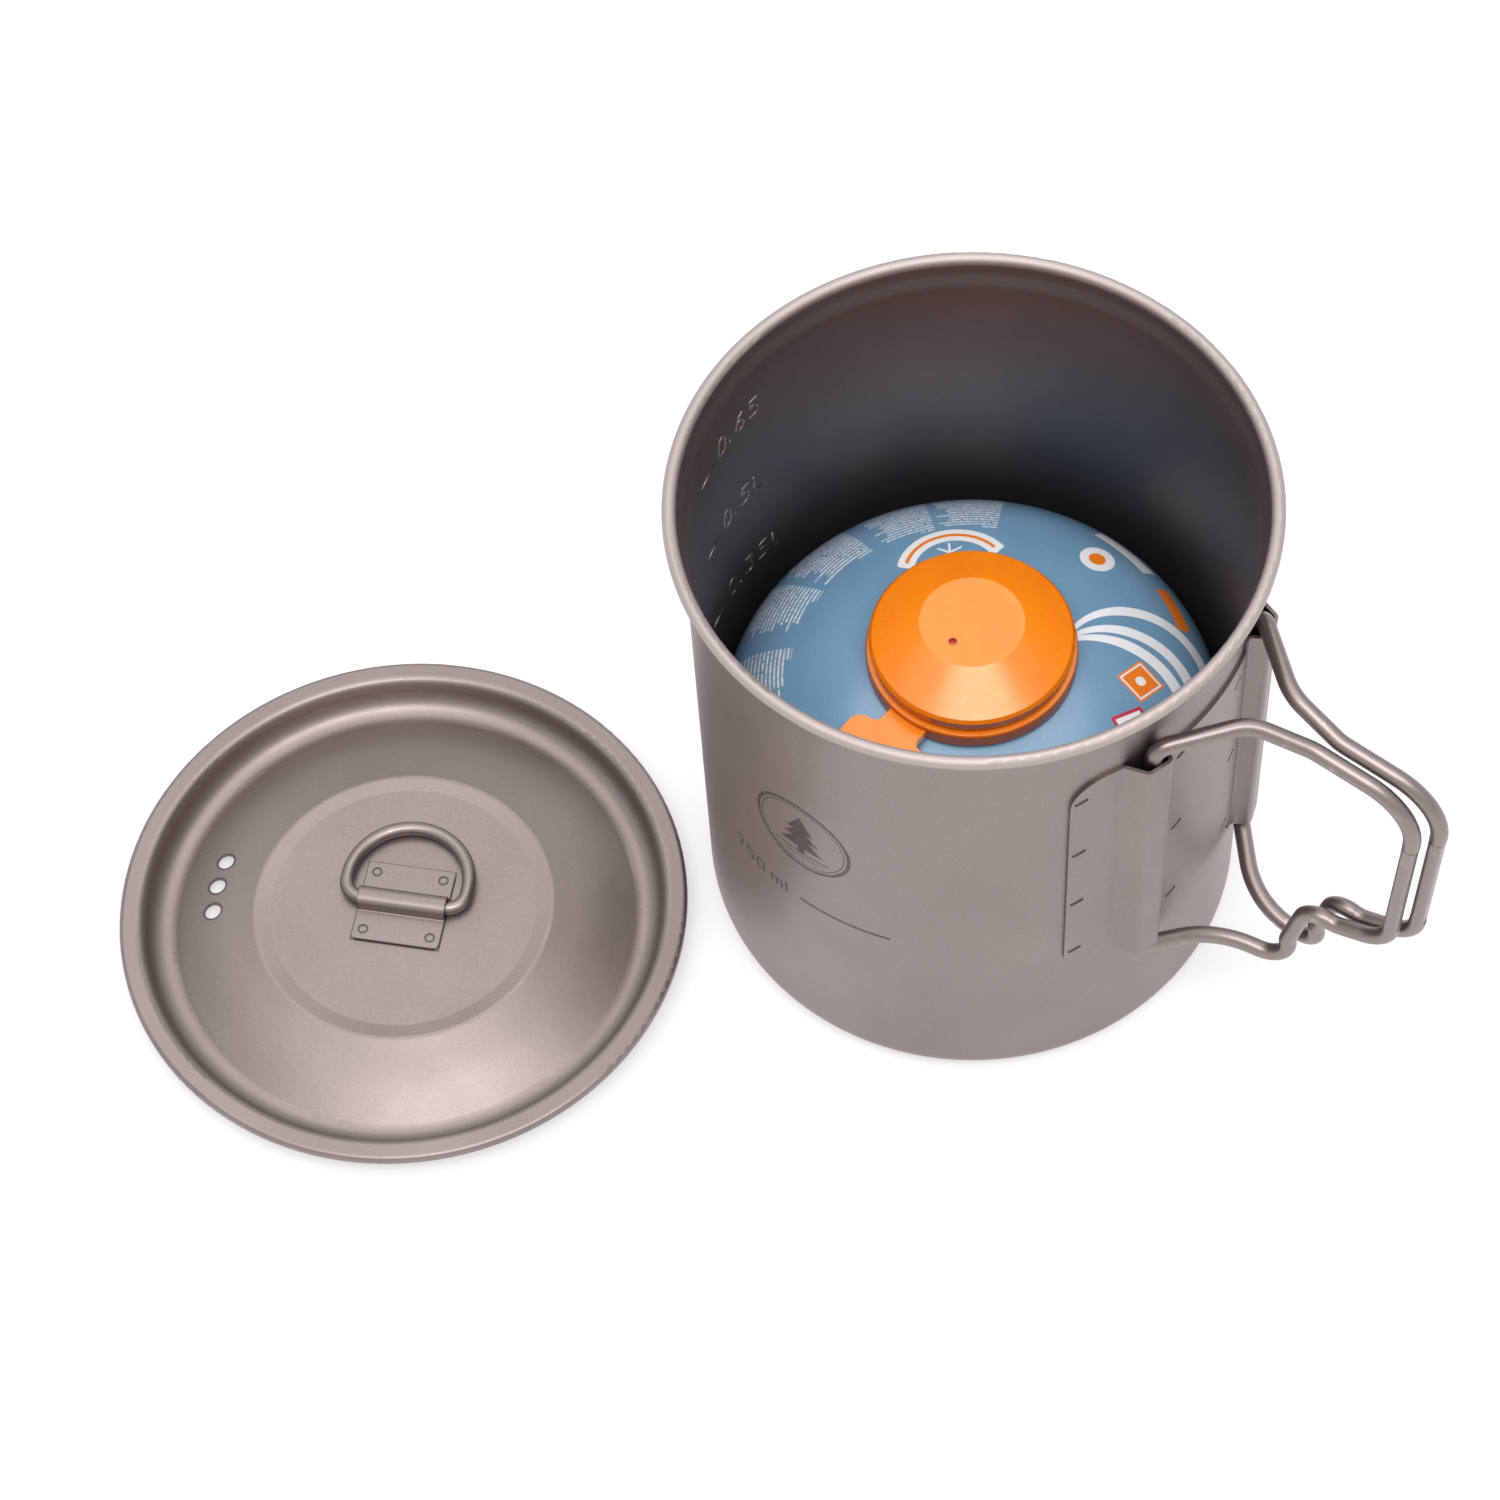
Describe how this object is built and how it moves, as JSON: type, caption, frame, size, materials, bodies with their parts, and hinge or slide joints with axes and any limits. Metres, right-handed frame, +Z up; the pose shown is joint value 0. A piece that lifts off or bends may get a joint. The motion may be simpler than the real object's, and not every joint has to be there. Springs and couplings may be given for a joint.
{
  "type": "backpacking cook pot set with gas canister",
  "caption": "Cylindrical camping cook pot with folding wire handles and a loose vented lid, holding a capped screw-valve gas canister.",
  "frame": {"origin": "centre of the pot's flat base, on the surface that the set stands on", "axes": "+Z up the pot's axis; the lid lies on the -X side; the handles stick out between +X and -Y"},
  "size_m": [0.2293, 0.1126, 0.1106],
  "materials": {
    "titanium": "sandblasted titanium, satin",
    "titanium_wire": "drawn titanium wire, satin",
    "painted_can": "semi-gloss blue-grey paint",
    "can_steel": "tinplate",
    "seal_rubber": "matt black",
    "valve_plastic": "natural plastic",
    "valve_metal": "plain",
    "cap_plastic": "orange polyethylene"
  },
  "bodies": {
    "pot": {"pot_shell": "titanium", "handle_bracket": "titanium"},
    "front_handle": {"front_handle_wire": "titanium_wire"},
    "rear_handle": {"rear_handle_wire": "titanium_wire"},
    "lid": {"lid_shell": "titanium", "lid_ring_strap": "titanium"},
    "lid_ring": {"lid_ring": "titanium_wire"},
    "canister": {"canister_body": "painted_can", "canister_base": "can_steel", "valve_cup": "can_steel", "cup_gasket": "seal_rubber", "stem_gasket": "seal_rubber", "valve_housing": "valve_plastic", "valve_spring": "valve_metal"},
    "valve_stem": {"valve_stem": "valve_metal"},
    "cap": {"valve_cap": "cap_plastic"}
  },
  "joints": [
    {"name": "front_handle_fold", "type": "hinge", "parent": "pot", "child": "front_handle", "pos_m": [0.02617, -0.04172, 0.065], "axis": [0, 0, -1], "range_deg": [0, 154]},
    {"name": "rear_handle_fold", "type": "hinge", "parent": "pot", "child": "rear_handle", "pos_m": [0.04607, -0.01741, 0.065], "axis": [0, 0, 1], "range_deg": [0, 143]},
    {"name": "lid_lift", "type": "slide", "parent": "pot", "child": "lid", "axis": [0, 0, 1], "range_m": [0, 0.13]},
    {"name": "lid_ring_flip", "type": "hinge", "parent": "lid", "child": "lid_ring", "pos_m": [-0.104, -0.0102, 0.0066], "axis": [0.9759, -0.2181, 0], "range_deg": [0, 178]},
    {"name": "canister_lift", "type": "slide", "parent": "pot", "child": "canister", "axis": [0, 0, 1], "range_m": [0, 0.115]},
    {"name": "cap_pull", "type": "slide", "parent": "canister", "child": "cap", "axis": [0, 0, 1], "range_m": [0, 0.06]},
    {"name": "valve_press", "type": "slide", "parent": "canister", "child": "valve_stem", "axis": [0, 0, -1], "range_m": [0, 0.0015], "stiffness_N_per_m": 1500, "springref_m": -0.003, "deforming": ["valve_spring"]}
  ]
}
